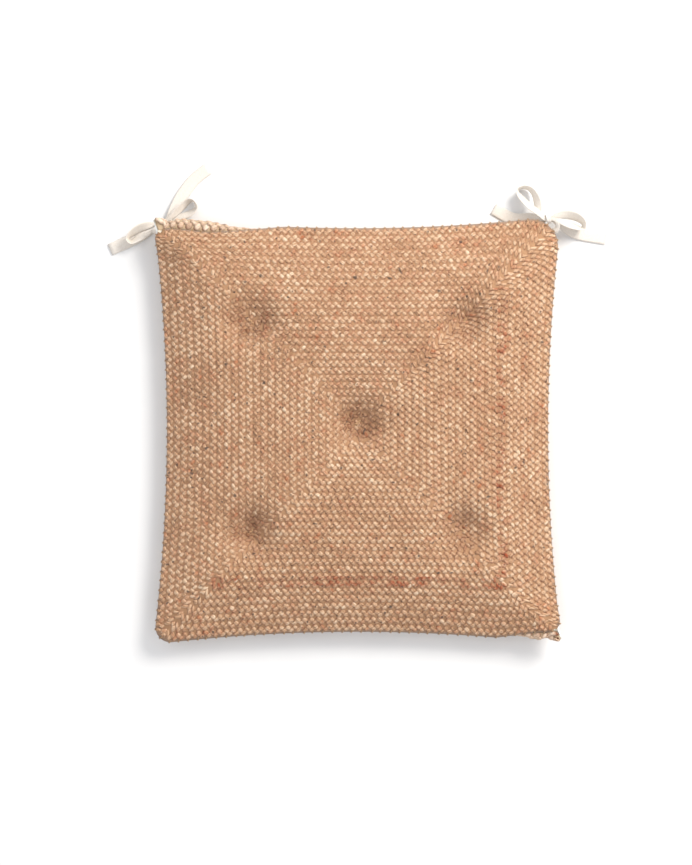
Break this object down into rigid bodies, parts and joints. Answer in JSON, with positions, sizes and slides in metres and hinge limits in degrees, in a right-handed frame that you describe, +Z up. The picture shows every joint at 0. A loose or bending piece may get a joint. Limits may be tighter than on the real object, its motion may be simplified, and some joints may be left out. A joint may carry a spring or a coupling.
{
  "type": "tufted floor cushion",
  "caption": "Square braided-jute cushion, tufted through its pad, with cotton tape ties bowed at the rear corners; it lies on a floor or ties to a chair seat.",
  "frame": {"origin": "on the floor, under the middle of the cushion's outline, leaving the ties out", "axes": "+X to the right, +Y towards the rear edge with the ties, +Z up through the crown"},
  "size_m": [0.4978, 0.4762, 0.0549],
  "materials": {
    "natural_jute": "matte",
    "pale_jute": "matte",
    "twine": "matte",
    "calico": "matte",
    "fibre": "matte",
    "cotton_tape": "matte",
    "tacking_thread": "matte"
  },
  "bodies": {
    "root": {"top_panel": "natural_jute", "bottom_panel": "pale_jute", "edge_seam_twine": "twine", "pad_case_top": "calico", "pad_case_bottom": "calico", "pad_filling": "fibre", "tuft_centre": "twine", "tuft_rear_left": "twine", "tuft_rear_right": "twine", "tuft_front_left": "twine", "tuft_front_right": "twine", "left_tie_rear_tape": "cotton_tape", "left_tie_side_tape": "cotton_tape", "left_tie_tack": "tacking_thread", "right_tie_rear_tape": "cotton_tape", "right_tie_side_tape": "cotton_tape", "right_tie_tack": "tacking_thread"}
  },
  "joints": []
}
